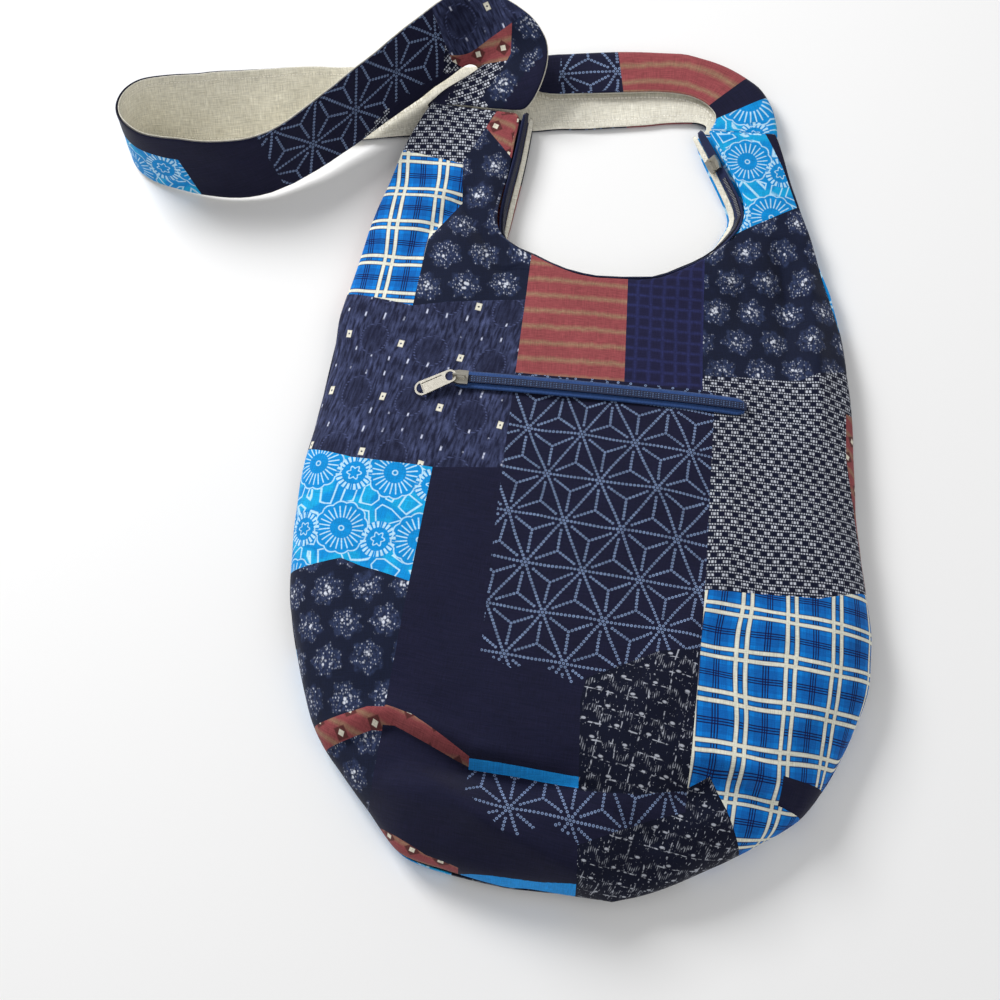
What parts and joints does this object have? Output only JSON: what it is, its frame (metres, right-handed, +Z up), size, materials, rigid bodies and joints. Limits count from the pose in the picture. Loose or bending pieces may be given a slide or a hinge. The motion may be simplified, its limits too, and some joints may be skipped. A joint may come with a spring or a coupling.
{
  "type": "patchwork hobo bag",
  "caption": "Soft hobo shoulder bag in indigo patchwork-print cotton with a zipped scoop mouth, a zip pocket on its front and a wide linen-lined strap, lying on its back.",
  "frame": {"origin": "on the floor under the middle of the body, on the back panel's flat underside", "axes": "+Z up, +Y from the rounded bottom towards the strap, +X to the right as seen from the front"},
  "size_m": [0.5204, 0.5956, 0.0553],
  "materials": {
    "patchwork_print": "matt printed cotton with a slub",
    "linen": "plain unbleached linen",
    "mouth_tape": "woven zip tape",
    "pocket_tape": "woven zip tape",
    "zip_coil": "nylon coil",
    "zip_metal": "bright nickel plate"
  },
  "bodies": {
    "bag": {"front_panel": "patchwork_print", "back_panel": "patchwork_print", "mouth_zip_tape": "mouth_tape", "mouth_zip_coil": "zip_coil", "mouth_zip_slider": "zip_metal", "mouth_lining": "linen", "strap_print": "patchwork_print", "strap_lining": "linen", "pocket_zip_tape": "pocket_tape", "pocket_zip_coil": "zip_coil", "pocket_zip_slider": "zip_metal"},
    "pocket_pull": {"pocket_zip_pull": "zip_metal"}
  },
  "joints": [
    {"name": "pocket_pull_hinge", "type": "hinge", "parent": "bag", "child": "pocket_pull", "pos_m": [-0.0918, 0.1214, 0.04097], "axis": [-0.4226, 0.9063, 0], "range_deg": [0, 150]}
  ]
}
